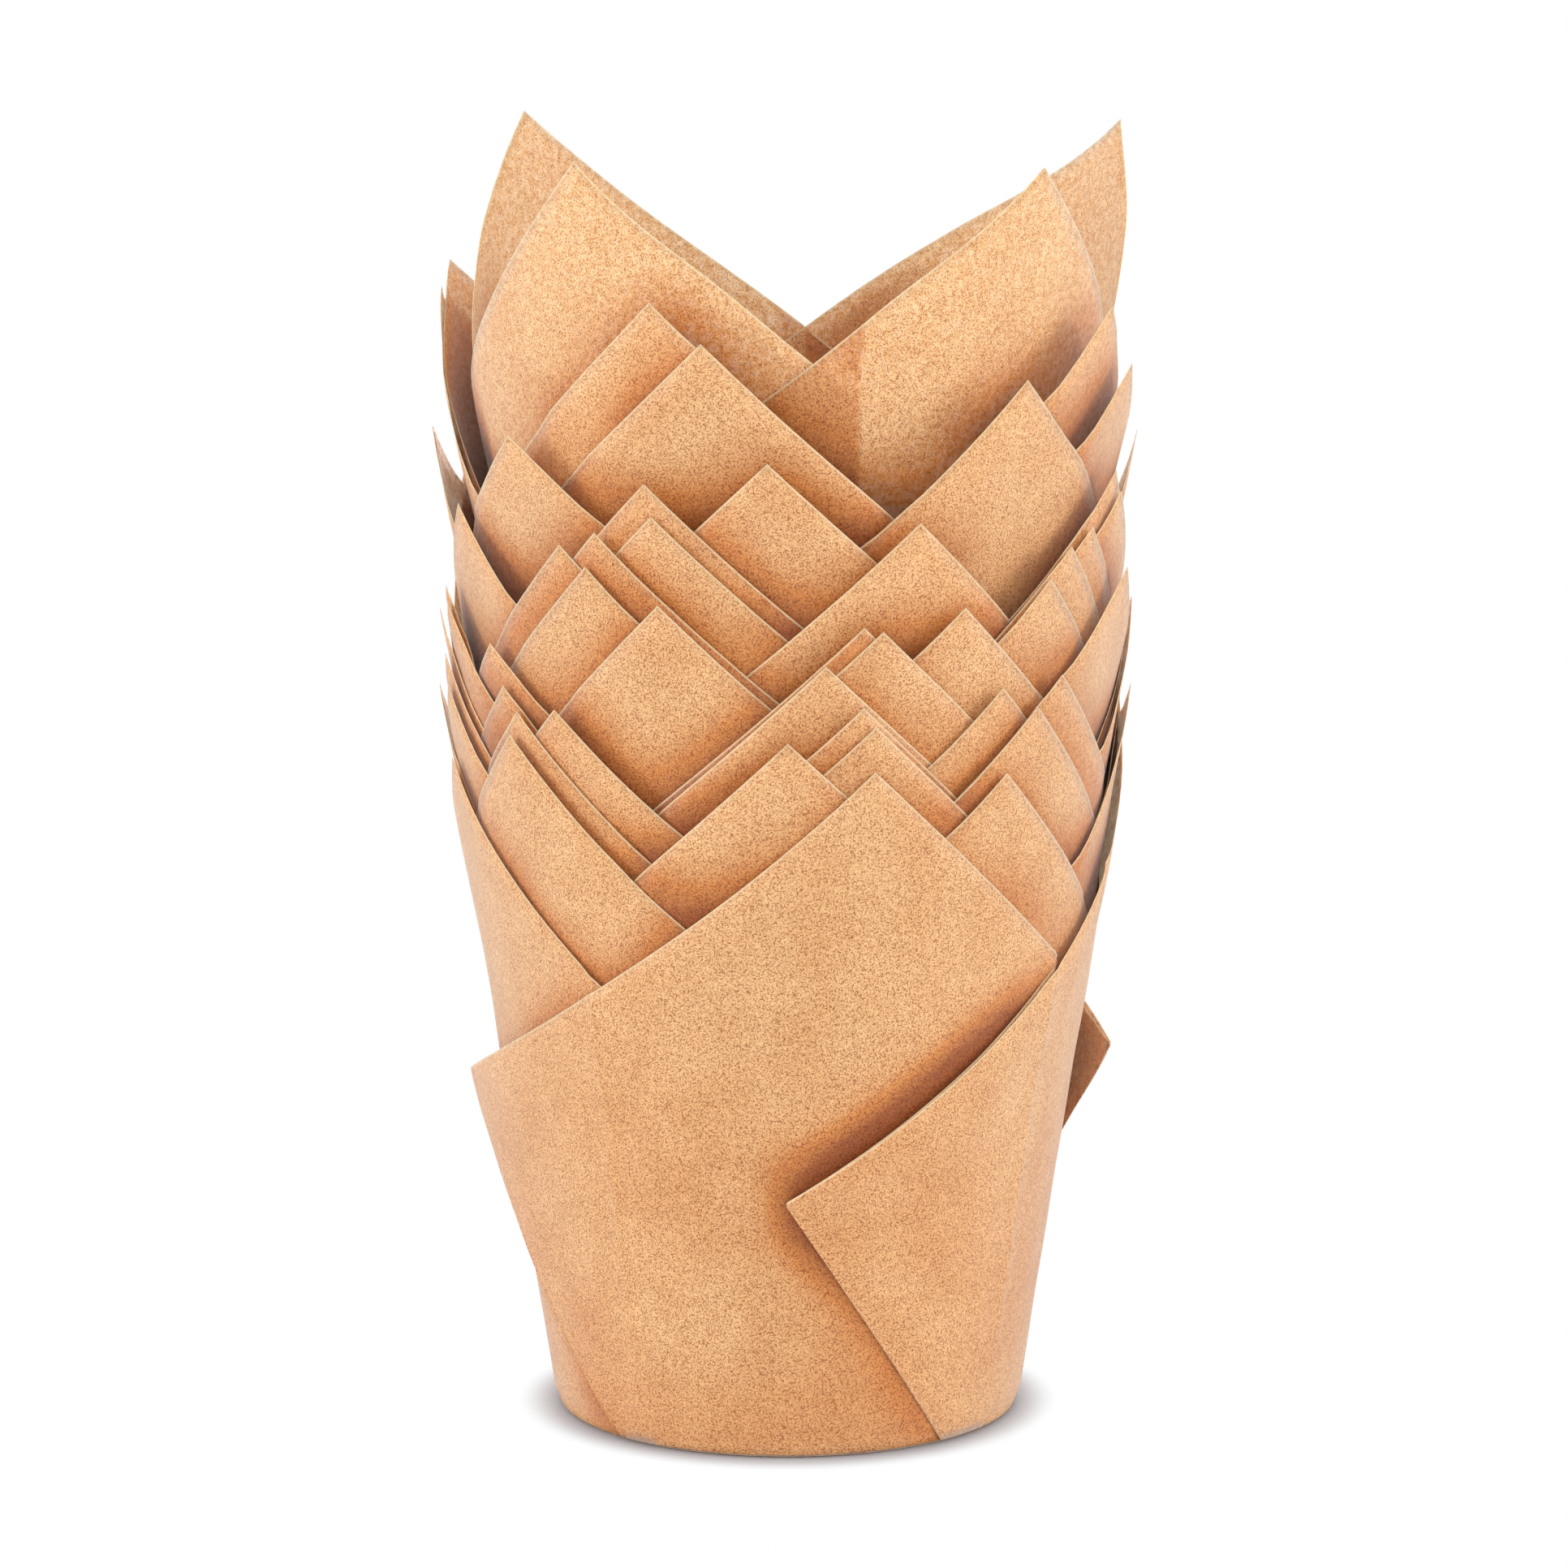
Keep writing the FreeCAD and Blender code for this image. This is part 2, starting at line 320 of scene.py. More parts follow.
    def layer_offset(self, azimuth, folded_back):
        """The panel is the outer layer of its left pleat and the inner layer of its right one."""
        if folded_back:
            return LAYER_STEP
        settle = (azimuth - self.left_turn) / (self.next_corner - self.left_turn)
        return LAYER_STEP * (1.0 + np.cos(math.pi * np.clip(settle, 0.0, 1.0)))

    def flap_heights(self):
        """Lowest and highest height of the pleat's flap at every azimuth, and the weights of its painted
        shade there.
        """
        azimuth = self.corner + (all_azimuths() - self.corner) % 360.0
        inside = azimuth < self.left_cross
        at = np.where(inside, azimuth, self.corner)
        low = np.where(inside, wall_height(self.foot(at)), 0.0)
        high = np.where(inside, wall_height(self.left_edge(at)), 0.0)
        return low, high, np.where(inside, FOLD_SHADE, 0.0), np.where(inside, self.pleat.shade, 0.0)


def petals_of(row):
    """The four petals in order of azimuth, each with its links to its neighbours."""
    left, right = row.left_lift / COS_TAPER, row.right_lift / COS_TAPER
    lifts = [left, right, -left, -right]
    ways = [row.left, row.right, row.far[0], row.far[1]]
    petals = []
    for i in range(PETALS):
        across, along = lifts[(i + 1) % PETALS], CORNER_REACH + lifts[i]
        pleat = row.pleats.get(i, EVEN_PLEAT)
        petals.append(Petal(ways[i], across, along, pleat, row.fuller.get(i, EVEN_EDGES)))
    for i, petal in enumerate(petals):
        petal.before, petal.after = petals[i - 1], petals[(i + 1) % PETALS]
        petal.before_turn = 360.0 if i == 0 else 0.0
        left_axis = petal.before.axis - petal.before_turn
        right_axis = petal.after.axis + (360.0 if i == PETALS - 1 else 0.0)
        petal.left_cross = (left_axis + petal.axis) / 2.0
        petal.right_cross = (petal.axis + right_axis) / 2.0
        petal.left_turn = petal.left_cross + row.past
        petal.right_turn = petal.right_cross + row.past
        petal.next_corner = right_axis + petal.after.corner - petal.after.axis
        petal.left_lip = row.lips[i]
        petal.right_lip = RIGHT_LIP * row.lips[(i + 1) % PETALS]
        petal.bent = row.bent.get(i, USUAL_BENT[i])
        petal.shading = LIT_SHADE if i in row.lit else 1.0
    for petal in petals:
        # The painted shade that the next petal's pleat gives the paper beside its cut edge
        petal.flap_share = painted_shade_share(*petal.after.flap_heights())
    return petals


# What the liners hide of each other, and the painted shade beside the covering edges

# How far the painted shade beside a covering edge reaches, in columns and in levels
SHADE_COLUMNS = 3
SHADE_LEVELS = 4

# The share of the painted shade that a covering layer gives where it lies close, how soon it
# comes loose from its tip on, and the share that a pleat's outer fold gives
TIGHT = 0.6
LOOSE_RATE = 1.2
FOLD_SHADE = 0.35

# How much the painted shade counts on a petal seen against the light
LIT_SHADE = 0.3

# The deeper tone low on every wall, and the height at which it ends
LOW_SHADE = 0.12
LOW_REACH = 75.0

# The painted shade is patchy: its mean strength, how much and how finely it varies, and its limits
PATCH_MEAN = 0.85
PATCH_DEPTH = 1.1
PATCH_FINENESS = 2.4
PATCH_LEAST = 0.3
PATCH_MOST = 1.2
PATCH_SEED = 0.5


def all_azimuths():
    return np.arange(int(round(360.0 / COLUMN_ANGLE))) * COLUMN_ANGLE


def edge_heights(row, spot):
    """Height of a liner's highest paper at every azimuth, and how loosely it lies there."""
    azimuth = all_azimuths()
    highest = np.zeros(azimuth.shape)
    loose = np.zeros(azimuth.shape)
    for petal in petals_of(row):
        for turn in (-360.0, 0.0, 360.0):
            at = azimuth + turn
            inside = (at >= petal.left_cross) & (at <= petal.right_cross)
            slant = petal.edge(np.clip(at, petal.left_cross, petal.right_cross))
            highest = np.maximum(highest, np.where(inside, wall_height(slant) + spot[2], 0.0))
            from_tip = np.maximum(petal.toward_left(at), petal.toward_right(at))
            looser = TIGHT + (1.0 - TIGHT) * smooth_step(from_tip * LOOSE_RATE)
            loose = np.where(inside, looser, loose)
    return highest, loose


def widened(table, columns, levels, kind):
    """Largest or mean value, as kind says, over the columns and levels on either side."""
    near = kind([np.roll(table, shift, axis=0) for shift in range(-columns, columns + 1)], axis=0)
    padded = np.pad(near, ((0, 0), (levels, levels)), mode="edge")
    return kind([padded[:, k:k + table.shape[1]] for k in range(2 * levels + 1)], axis=0)


def looked_up(table, azimuth, height):
    """Value of a table of columns and levels, between its points."""
    column = (azimuth % 360.0) / COLUMN_ANGLE
    level = np.clip(height / LEVEL_STEP, 0.0, LAST_LEVEL)
    c0 = np.floor(column).astype(int) % table.shape[0]
    c1 = (c0 + 1) % table.shape[0]
    l0 = np.floor(level).astype(int)
    c_share, l_share = column - np.floor(column), level - l0
    near = table[c0, l0] * (1 - l_share) + table[c0, l0 + 1] * l_share
    far = table[c1, l0] * (1 - l_share) + table[c1, l0 + 1] * l_share
    return near * (1 - c_share) + far * c_share


def painted_shade_share(low, high, weight_low, weight_high):
    """Share of the paper round each place that lies behind a layer from low to high, as painted shade.

    The weights say how much the layer shades at its lower and at its upper end."""
    levels = np.arange(LEVELS)[None, :] * LEVEL_STEP
    above = np.clip((high[:, None] - levels) / LEVEL_STEP + 0.5, 0.0, 1.0)
    below = np.clip((levels - low[:, None]) / LEVEL_STEP + 0.5, 0.0, 1.0)
    behind = np.where((high > low)[:, None], above * below, 0.0)
    rise = np.clip((levels - low[:, None]) / np.maximum(high - low, 1.0)[:, None], 0.0, 1.0)
    behind = behind * (weight_low[:, None] * (1.0 - rise) + weight_high[:, None] * rise)
    return widened(widened(behind, SHADE_COLUMNS, SHADE_LEVELS, np.mean), 1, 1, np.mean)


class Cover:
    """How high the liners outside each liner hide it, and how much of each place is hidden, as painted
    shade.
    """

    # The height of the cover that the outermost liner has, far below its base
    BARE = -1000.0

    def __init__(self, spots):
        self.heights = []
        self.tables = []
        covered = np.full(all_azimuths().shape, self.BARE)
        loose = np.zeros(covered.shape)
        for row, spot in zip(STACK, spots):
            self.heights.append(covered)
            # Painted shade beside the cut edges of the liners outside this one
            self.tables.append(painted_shade_share(np.zeros(covered.shape), covered, loose, loose))
            edge, edge_loose = edge_heights(row, spot)
            loose = np.where(edge > covered, edge_loose, loose)
            covered = np.maximum(covered, edge)

    def at(self, number, azimuth):
        table = np.append(self.heights[number], self.heights[number][0])
        return np.interp(azimuth % 360.0, np.append(all_azimuths(), 360.0), table)

    def share(self, number, azimuth, height):
        return looked_up(self.tables[number], azimuth, height)


class Room:
    """The room that the inner liners take, as a distance out from the cone of the wall."""

    # How many columns and levels it is widened by, its value where no liner lies, and how
    # near to a column of the table a column of a mesh counts as on it
    REACH = 2
    EMPTY = -30.0
    ON_COLUMN = 0.01

    def __init__(self):
        self.taken = np.full((all_azimuths().size, LEVELS), self.EMPTY)
        self.smooth = self.taken

    def settle(self):
        """Widens and blurs the taken room, so what lies on it has no sharp step."""
        wide = widened(self.taken, self.REACH, self.REACH, np.max)
        self.smooth = widened(wide, self.REACH, self.REACH, np.mean)

    def at(self, azimuth, height):
        return looked_up(self.smooth, azimuth, height) + height * TAN_TAPER

    def take(self, azimuths, heights, radii):
        """Adds the columns of a surface: each row of heights rises from its foot to its edge."""
        levels = np.arange(LEVELS) * LEVEL_STEP
        for azimuth, height, radius in zip(azimuths, heights, radii):
            column = azimuth / COLUMN_ANGLE
            if abs(column - round(column)) > self.ON_COLUMN:
                continue
            number = int(round(column)) % self.taken.shape[0]
            inside = (levels >= height[0]) & (levels <= height[-1])
            out = np.interp(levels[inside], height, radius - height * TAN_TAPER)
            self.taken[number, inside] = np.maximum(self.taken[number, inside], out)


# From the flat sheet to its place on the wall

# A petal bends from this slant above the base on, over this length. A bend too slight to
# tell from a straight wall is worked out as the least bend.
BEND_START = 44.0
BEND_LENGTH = 32.0
LEAST_BEND = 1e-6
TIP_CURVE = 1.5

# The cut edges stand off the wall: how far down that reaches, how far it goes at the tips,
# how much of it the right side of a petal has, and over how many degrees the sides change
LIP_REACH = 8.0
TIP_LIP = 0.25
RIGHT_LIP = 0.5
SIDES_CHANGE = 16.0

# A covered edge keeps this share of its lip. From just below the covering edge on, the lip
# grows to all of it over this height.
COVERED_LIP = 0.15
LIP_SHOWS_BELOW = 1.0
LIP_SHOWS_OVER = 5.0

# The share of the lip that the folded layer has, and what it gains towards its corner
BACK_LIP = 0.5
BACK_LIP_GAIN = 0.4

# The heights at which lips and unevenness begin, and over which they grow to all of it
LIP_FROM = 12.0
LIP_OVER = 25.0
UNEVEN_FROM = 4.0
UNEVEN_OVER = 12.0

# Above this height the inner liners push the wall out
PUSHED_FROM = 6.0

# The depth and the fineness of the wall's waves, and the half width of its creases in degrees
WAVES = ((0.30, 1.6), (0.12, 5.0))
WAVE_HEIGHT = 40.0
WAVE_SEED_STEP = 9.0
CREASE_WIDTH = 1.2

# The distance from a cut edge that is written for paper with no cut edge near it
FAR_FROM_CUT = 50.0

Points = namedtuple("Points", "azimuth radius height cut_distance shade")


def plain_points(azimuth, radius, height):
    """Points far from any cut edge and in no shade."""
    return Points(azimuth, radius, height, np.full(azimuth.shape, FAR_FROM_CUT), np.zeros(azimuth.shape))


def meridian(slant, bend):
    """Radius and height of the paper's middle: floor, rounded heel, straight wall, bent petal."""
    along = slant - APEX_TO_BASE
    turn = np.clip((along + HEEL_TANGENT) / (2.0 * HEEL_TANGENT), 0.0, 1.0) * HEEL_TURN
    heel_radius = BASE_RADIUS - HEEL_TANGENT + HEEL_RADIUS * np.sin(turn)
    heel_height = HEEL_RADIUS * (1.0 - np.cos(turn))
    in_heel = along < HEEL_TANGENT
    radius = np.where(in_heel, heel_radius, BASE_RADIUS + along * SIN_TAPER)
    height = np.where(in_heel, heel_height, along * COS_TAPER)
    past = np.maximum(along - BEND_START, 0.0)
    curve = bend / BEND_LENGTH
    curve = np.where(np.abs(curve) < LEAST_BEND, LEAST_BEND, curve)
    bent_radius = (math.cos(WALL_LEAN) - np.cos(WALL_LEAN + curve * past)) / curve
    bent_height = (np.sin(WALL_LEAN + curve * past) - math.sin(WALL_LEAN)) / curve
    radius = radius + bent_radius - past * SIN_TAPER
    height = height + bent_height - past * COS_TAPER
    return radius, height + PAPER / 2.0


def wave(azimuth, height, fineness, seed):
    """Slow, small unevenness, the same for the same place and seed."""
    out = np.zeros(azimuth.shape)
    turn = np.radians(azimuth)
    x, y, z = fineness * np.sin(turn), fineness * np.cos(turn), fineness * height / WAVE_HEIGHT
    for place in np.ndindex(azimuth.shape):
        out[place] = noise.noise((x[place], y[place], z[place] + WAVE_SEED_STEP * seed))
    return out


def columns_between(start, end, marks):
    """Azimuths of the columns between two azimuths: even ones, and one at each mark."""
    first = math.ceil((start + NEAREST_COLUMNS) / COLUMN_ANGLE)
    last = math.floor((end - NEAREST_COLUMNS) / COLUMN_ANGLE)
    near = [mark for mark in marks if start < mark < end]
    even = [number * COLUMN_ANGLE for number in range(first, last + 1)]
    even = [azimuth for azimuth in even if all(abs(azimuth - mark) > NEAREST_COLUMNS for mark in near)]
    return np.array(sorted(even + near + [start, end]))


class Sheet:
    """One liner's mesh."""

    def __init__(self, number, spot, room, cover):
        self.number = number
        self.row = STACK[number]
        self.petals = petals_of(self.row)
        self.spot = spot
        self.room = room
        self.cover = cover
        self.vertices = []
        self.cut_distances = []
        self.shades = []
        self.faces = []
        self.count = 0

    def away(self, azimuth):
        """How far the liner's own middle moves the wall out at this azimuth."""
        turn = np.radians(azimuth)
        return self.spot[0] * np.sin(turn) - self.spot[1] * np.cos(turn)

    def lip(self, petal, azimuth, to_left, to_right, height_of_edge):
        """The cut edges stand off the wall, most at the pleats and where nothing lies over them."""
        left = TIP_LIP + (petal.left_lip - TIP_LIP) * smooth_step(petal.toward_left(azimuth))
        right = TIP_LIP + (petal.right_lip - TIP_LIP) * smooth_step(petal.toward_right(azimuth))
        side = smooth_step((azimuth - petal.tip) / SIDES_CHANGE + 0.5)
        off = left * np.exp(-(to_left / LIP_REACH) ** 2) * (1.0 - side)
        off = off + right * np.exp(-(to_right / LIP_REACH) ** 2) * side
        above_cover = height_of_edge - self.cover.at(self.number, azimuth)
        shown = smooth_step((above_cover + LIP_SHOWS_BELOW) / LIP_SHOWS_OVER)
        return off * (COVERED_LIP + (1.0 - COVERED_LIP) * shown)

    def unevenness(self, azimuth, height):
        """Slow waves of the wall, and the creases from the press."""
        uneven = sum(depth * wave(azimuth, height, fineness, self.number) for depth, fineness in WAVES)
        for way, depth in self.row.creases:
            uneven = uneven + depth * np.exp(-((azimuth - way) / CREASE_WIDTH) ** 2)
        return uneven * smooth_step((height - UNEVEN_FROM) / UNEVEN_OVER)

    def shade(self, petal, azimuth, height):
        """Strength of the painted shade: behind covering layers, on double paper, and a deeper tone low
        down.
        """
        hidden = self.cover.share(self.number, azimuth, height + self.spot[2])
        under_flap = looked_up(petal.flap_share, azimuth, height)
        hidden = np.maximum(hidden, np.where(azimuth > petal.left_turn, under_flap, 0.0))
        # Double paper under a pleat gets painted shade, as less light comes through it
        hidden = hidden * petal.shading + np.where(azimuth < petal.left_turn, self.row.double, 0.0)
        hidden = hidden + LOW_SHADE * (1.0 - smooth_step(height / LOW_REACH))
        patches = PATCH_DEPTH * wave(azimuth, height, PATCH_FINENESS, self.number + PATCH_SEED)
        return hidden * np.clip(PATCH_MEAN + patches, PATCH_LEAST, PATCH_MOST)

    def layer(self, petal, azimuths, rows, folded_back):
        """The points of one layer: the panel, or the paper folded back beneath its left side."""
        edge = petal.back_edge(azimuths) if folded_back else petal.edge(azimuths)
        foot = petal.foot(azimuths)
        share = np.array(rows)[None, :]
        slant = foot[:, None] + (edge - foot)[:, None] * share
        azimuth = np.repeat(azimuths[:, None], slant.shape[1], axis=1)
        free = petal.freedom(azimuth)
        radius, height = meridian(slant, math.radians(petal.bent.out) * free)
        bend_share = np.clip((slant - APEX_TO_BASE - BEND_START) / BEND_LENGTH, 0.0, None)
        rise = bend_share ** TIP_CURVE * free
        height = height - petal.bent.down * rise
        to_left, to_right = petal.from_edges(azimuth, slant)
        lip = self.lip(petal, azimuth, to_left, to_right, height[:, -1:] + self.spot[2])
        if folded_back:
            lip = lip * (BACK_LIP + BACK_LIP_GAIN * petal.toward_corner(azimuth))
        lip = lip * smooth_step((height - LIP_FROM) / LIP_OVER)
        offset = petal.layer_offset(azimuth, folded_back)
        flap = petal.flap_off(azimuth, share, folded_back)
        radius = radius + offset + lip + flap + self.unevenness(azimuth, height)
        # The painted shade that the material darkens this paper's colour by
        shade = self.shade(petal, azimuth, height)
        azimuth = azimuth + np.degrees(petal.bent.sideways * rise / radius)
        taken = self.room.at(azimuth, height + self.spot[2]) - self.away(azimuth)
        pushed = np.maximum(radius, taken + CLEARANCE + offset)
        radius = np.where(height > PUSHED_FROM, pushed, radius)
        return Points(azimuth, radius, height, np.minimum(to_left, to_right), shade)

    def add(self, points):
        """Adds points and returns their numbers, in the same arrangement."""
        turn = np.radians(points.azimuth)
        x = self.spot[0] + points.radius * np.sin(turn)
        y = self.spot[1] - points.radius * np.cos(turn)
        z = self.spot[2] + points.height
        self.vertices.append(np.stack([x, y, z], axis=-1).reshape(-1, 3))
        self.cut_distances.append(points.cut_distance.ravel())
        self.shades.append(points.shade.ravel())
        numbers = np.arange(turn.size).reshape(turn.shape) + self.count
        self.count += turn.size
        return numbers

    def join(self, one, other):
        """Quads between two rows of points."""
        for k in range(len(one) - 1):
            self.faces.append((one[k], one[k + 1], other[k + 1], other[k]))

    def fill(self, numbers):
        """Quads over a grid of points."""
        for k in range(numbers.shape[0] - 1):
            self.join(numbers[k], numbers[k + 1])

    def build(self, rows):
        for petal in self.petals:
            self.lay(petal, rows)
        rim = []
        for petal in self.petals:
            fold = int(np.argmin(np.abs(petal.columns - petal.fold_foot)))
            self.join(petal.back_points[:fold + 1, 0], petal.panel_points[:fold + 1, 0])
            self.join(petal.panel_points[0, :], petal.back_points[0, :])
            self.join(petal.before.panel_points[-1, :], petal.back_points[-1, :])
            rim += [(petal, column) for column in range(petal.turn_column, len(petal.columns) - 1)]
        self.floor(rim)
        for petal in self.petals:
            for points in (petal.panel, petal.back):
                radii = points.radius + self.away(points.azimuth)
                self.room.take(points.azimuth[:, 0], points.height + self.spot[2], radii)

    def lay(self, petal, rows):
        """A petal's panel, and the layer folded back beneath its left side."""
        marks = [petal.fold_foot, petal.left_cross, petal.left_turn, petal.tip]
        for way, _ in self.row.creases:
            marks += [way - CREASE_WIDTH, way, way + CREASE_WIDTH]
        start = petal.corner + BLUNT_ANGLE
        petal.columns = columns_between(start, petal.right_turn, sorted(set(marks)))
        petal.turn_column = int(np.argmin(np.abs(petal.columns - petal.left_turn)))
        petal.panel = self.layer(petal, petal.columns, rows, False)
        petal.back = self.layer(petal, petal.columns[:petal.turn_column + 1], rows, True)
        petal.panel_points = self.add(petal.panel)
        petal.back_points = self.add(petal.back)
        self.fill(petal.panel_points)
        self.fill(petal.back_points[:, ::-1])

    def floor(self, rim):
        """Rounded heel and flat floor inside the ring of the wall's lower ends."""
        azimuths = np.array([petal.columns[column] for petal, column in rim])
        outer = np.array([petal.panel.radius[column, 0] for petal, column in rim])
        heel = np.full(len(rim), APEX_TO_BASE)
        past_heel = outer - meridian(heel, 0.0)[0]
        rings = []
        for share in HEEL_RINGS:
            radius, height = meridian(heel - HEEL_TANGENT * (1.0 - share), 0.0)
            rings.append((radius + past_heel * share, height))
        for ring in range(1, FLOOR_RINGS):
            radius = (BASE_RADIUS - HEEL_TANGENT) * (1.0 - ring / FLOOR_RINGS)
            rings.append((np.full(len(rim), radius), np.full(len(rim), PAPER / 2.0)))
        last = [petal.panel_points[column, 0] for petal, column in rim]
        for radius, height in rings:
            points = list(self.add(plain_points(azimuths, radius, height)))
            self.join(points + [points[0]], last + [last[0]])
            last = points
        middle = self.add(plain_points(np.zeros(1), np.zeros(1), np.full(1, PAPER / 2.0)))[0]
        for k in range(len(last)):
            self.faces.append((last[k], middle, last[(k + 1) % len(last)]))

    def mesh(self, name):
        points = np.concatenate(self.vertices) * MM
        mesh = bpy.data.meshes.new(name)
        mesh.from_pydata(points.tolist(), [], [tuple(int(n) for n in face) for face in self.faces])
        # The distance to a cut edge places the painted highlight, and the other attribute holds the
        # painted shade
        for attribute, values in (("cut_distance", self.cut_distances), ("painted_shade_share", self.shades)):
            made = mesh.attributes.new(attribute, "FLOAT", "POINT")
            made.data.foreach_set("value", np.concatenate(values).astype(np.float32))
        mesh.update()
        return mesh


# Materials

WHITE = (1.0, 1.0, 1.0, 1.0)

# The paper's colours. Flecks and clouds are multiplied with the grain.
GRAIN_DARK = (0.47, 0.155, 0.04, 1.0)
GRAIN_LIGHT = (1.0, 0.62, 0.30, 1.0)
FLECK = (0.50, 0.36, 0.26, 1.0)
CLOUD = (0.94, 0.88, 0.81, 1.0)

# The noise of each of them: its scale and detail, and the values that the colours run between
Field = namedtuple("Field", "scale detail low high")
GRAIN_FIELD = Field(6200.0, 2.0, 0.38, 0.54)
FLECK_FIELD = Field(2600.0, 1.0, 0.20, 0.27)
CLOUD_FIELD = Field(180.0, 3.0, 0.34, 0.62)
FIBRE_FIELD = Field(1500.0, 4.0, 0.40, 0.60)

# What the painted shade multiplies the colour with, and the shares at which it begins, is
# half and is deepest
SHADE_HALF = (0.81, 0.51, 0.24, 1.0)
SHADE_DEEP = (0.44, 0.18, 0.04, 1.0)
SHADE_FROM = 0.03
SHADE_HALF_AT = 0.28
SHADE_DEEP_AT = 0.62

# The painted highlight along a cut edge, where the edge catches the light: its colour and
# strength, and the distances in millimetres at which it is full and gone
CUT_HIGHLIGHT = (1.0, 0.80, 0.50, 1.0)
CUT_HIGHLIGHT_STRENGTH = 0.85
CUT_FULL = 0.02
CUT_GONE = 0.26

# The light that comes through: its colours at thick and thin fibres, and its share
THROUGH_DARK = (0.72, 0.58, 0.36, 1.0)
THROUGH_LIGHT = (0.96, 0.98, 0.88, 1.0)
THROUGH_SHARE = 0.36

# The matt surface, and the fine relief of its grain with its height in metres
ROUGHNESS = 0.5
SPECULAR = 0.5
SHEEN = 0.5
SHEEN_ROUGHNESS = 0.5
GRAIN_STRENGTH = 0.3
GRAIN_HEIGHT = 0.00004


def node(tree, kind, **settings):
    """A new shader node with these settings."""
    made = tree.nodes.new(kind)
    for key, value in settings.items():
        setattr(made, key, value)
    return made


def noise_ramp(tree, place, field, dark, light):
    """A noise's value, and a colour that runs from dark to light with it."""
    made = node(tree, "ShaderNodeTexNoise")
    made.inputs["Scale"].default_value = field.scale
    made.inputs["Detail"].default_value = field.detail
    tree.links.new(place.outputs["Object"], made.inputs["Vector"])
    ramp = node(tree, "ShaderNodeValToRGB")
    ramp.color_ramp.elements[0].position = field.low
    ramp.color_ramp.elements[0].color = dark
    ramp.color_ramp.elements[1].position = field.high
    ramp.color_ramp.elements[1].color = light
    tree.links.new(made.outputs["Fac"], ramp.inputs["Fac"])
    return made.outputs["Fac"], ramp.outputs["Color"]


def multiplied(tree, one, other):
    mixed = node(tree, "ShaderNodeMix", data_type="RGBA", blend_type="MULTIPLY")
    mixed.inputs["Factor"].default_value = 1.0
    tree.links.new(one, mixed.inputs["A"])
    tree.links.new(other, mixed.inputs["B"])
    return mixed.outputs["Result"]


def shaded(tree, colour):
    """The colour, deeper by the painted shade that the mesh gives where the paper is hidden from the
    light.
    """
    hidden = node(tree, "ShaderNodeAttribute", attribute_name="painted_shade_share")
    shade = node(tree, "ShaderNodeValToRGB")
    shade.color_ramp.elements[0].position = SHADE_FROM
    shade.color_ramp.elements[0].color = WHITE
    shade.color_ramp.elements[1].position = SHADE_DEEP_AT
    shade.color_ramp.elements[1].color = SHADE_DEEP
    shade.color_ramp.elements.new(SHADE_HALF_AT).color = SHADE_HALF
    tree.links.new(hidden.outputs["Fac"], shade.inputs["Fac"])
    return multiplied(tree, colour, shade.outputs["Color"])


def edge_highlighted(tree, colour):
    """The colour, with a painted highlight: a thin bright line along the cut edges."""
    from_cut = node(tree, "ShaderNodeAttribute", attribute_name="cut_distance")
    cut = node(tree, "ShaderNodeMapRange")
    cut.inputs["From Min"].default_value = CUT_FULL
    cut.inputs["From Max"].default_value = CUT_GONE
    cut.inputs["To Min"].default_value = CUT_HIGHLIGHT_STRENGTH
    cut.inputs["To Max"].default_value = 0.0
    tree.links.new(from_cut.outputs["Fac"], cut.inputs["Value"])
    mixed = node(tree, "ShaderNodeMix", data_type="RGBA")
    mixed.inputs["B"].default_value = CUT_HIGHLIGHT
    tree.links.new(cut.outputs["Result"], mixed.inputs["Factor"])
    tree.links.new(colour, mixed.inputs["A"])
    return mixed.outputs["Result"]


def paper_surface(tree, colour, grain_value):
    """The matt surface that the colour lies on, with the grain's fine relief."""
    surface = node(tree, "ShaderNodeBsdfPrincipled")
    surface.inputs["Roughness"].default_value = ROUGHNESS
    surface.inputs["Sheen Weight"].default_value = SHEEN
    surface.inputs["Sheen Roughness"].default_value = SHEEN_ROUGHNESS
    surface.inputs["Specular IOR Level"].default_value = SPECULAR
    tree.links.new(colour, surface.inputs["Base Color"])
    bump = node(tree, "ShaderNodeBump")
    bump.inputs["Strength"].default_value = GRAIN_STRENGTH
    bump.inputs["Distance"].default_value = GRAIN_HEIGHT
    tree.links.new(grain_value, bump.inputs["Height"])
    tree.links.new(bump.outputs["Normal"], surface.inputs["Normal"])
    return surface.outputs["BSDF"]


